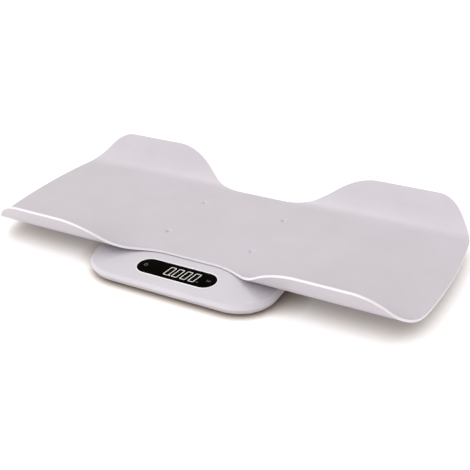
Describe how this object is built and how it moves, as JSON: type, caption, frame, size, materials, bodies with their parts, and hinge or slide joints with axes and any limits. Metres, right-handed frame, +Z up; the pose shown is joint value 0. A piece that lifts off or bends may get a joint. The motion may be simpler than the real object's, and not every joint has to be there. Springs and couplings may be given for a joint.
{
  "type": "animal weighing scale",
  "caption": "Low tabletop weighing scale for small animals: a long white tray rolled up front and back lifts off a four-footed base with a sloping lit display.",
  "frame": {"origin": "on the table under the middle of the whole scale's outline", "axes": "+Z up, +X to the right along the tray, -Y towards the display and the person reading it"},
  "size_m": [0.6, 0.307, 0.0638],
  "materials": {
    "tray_white": "semi-gloss white moulded ABS with a faint lilac cast",
    "cover_white": "semi-gloss white moulded ABS",
    "underside_white": "finely sparked matte white ABS",
    "bezel_white": "polished white ring",
    "window_black": "smoked gloss acrylic, printed black on its back",
    "digit_light": "white light-emitting digits",
    "gasket_foam": "black foam adhesive ring",
    "grip_rubber": "soft grey silicone rubber",
    "pad_rubber": "grey rubber with fine moulded grain",
    "foot_white": "matte white nylon",
    "circuit_board": "green solder-masked laminate",
    "chip_black": "black moulded epoxy",
    "connector_ivory": "ivory nylon",
    "screw_steel": "zinc-plated steel",
    "spring_steel": "nickel-plated spring wire",
    "gauge_steel": "rolled spring steel with a bonded strain gauge",
    "contact_plate": "nickel-plated strip",
    "retainer_plastic": "dark moulded nylon",
    "button_grey": "grey matte ABS",
    "cell_jacket": "plain blue wrapped steel can",
    "wire_red": "red PVC insulation",
    "wire_black": "black PVC insulation"
  },
  "bodies": {
    "base": {"tray_grips": "grip_rubber", "top_cover": "cover_white", "bottom_cover": "underside_white", "window_bezel": "bezel_white", "display_window": "window_black", "window_gasket": "gasket_foam", "led_display": "digit_light", "display_board": "circuit_board", "controller_chip": "chip_black", "wire_connector": "connector_ivory", "board_screws": "screw_steel", "touch_spring_left": "spring_steel", "touch_spring_right": "spring_steel", "unit_switch": "chip_black", "battery_cells": "cell_jacket", "battery_springs": "spring_steel", "battery_contacts": "contact_plate", "housing_screws": "screw_steel", "battery_wires": "wire_black", "load_cell_front_left": "gauge_steel", "cell_retainer_front_left": "retainer_plastic", "foot_front_left": "foot_white", "foot_pad_front_left": "pad_rubber", "cell_wire_front_left": "wire_red", "load_cell_front_right": "gauge_steel", "cell_retainer_front_right": "retainer_plastic", "foot_front_right": "foot_white", "foot_pad_front_right": "pad_rubber", "cell_wire_front_right": "wire_red", "load_cell_rear_left": "gauge_steel", "cell_retainer_rear_left": "retainer_plastic", "foot_rear_left": "foot_white", "foot_pad_rear_left": "pad_rubber", "cell_wire_rear_left": "wire_red", "load_cell_rear_right": "gauge_steel", "cell_retainer_rear_right": "retainer_plastic", "foot_rear_right": "foot_white", "foot_pad_rear_right": "pad_rubber", "cell_wire_rear_right": "wire_red"},
    "tray": {"tray_shell": "tray_white"},
    "battery_door": {"battery_door": "underside_white"},
    "unit_button": {"unit_button": "button_grey"}
  },
  "joints": [
    {"name": "tray_lift", "type": "slide", "parent": "base", "child": "tray", "axis": [0, 0, 1], "range_m": [0, 0.08]},
    {"name": "battery_door_hinge", "type": "hinge", "parent": "base", "child": "battery_door", "pos_m": [0, 0.0184, 0.0063], "axis": [1, 0, 0], "range_deg": [0, 80]},
    {"name": "unit_button_press", "type": "slide", "parent": "base", "child": "unit_button", "axis": [0, 0, 1], "range_m": [0, 0.0008], "stiffness_N_per_m": 600}
  ]
}
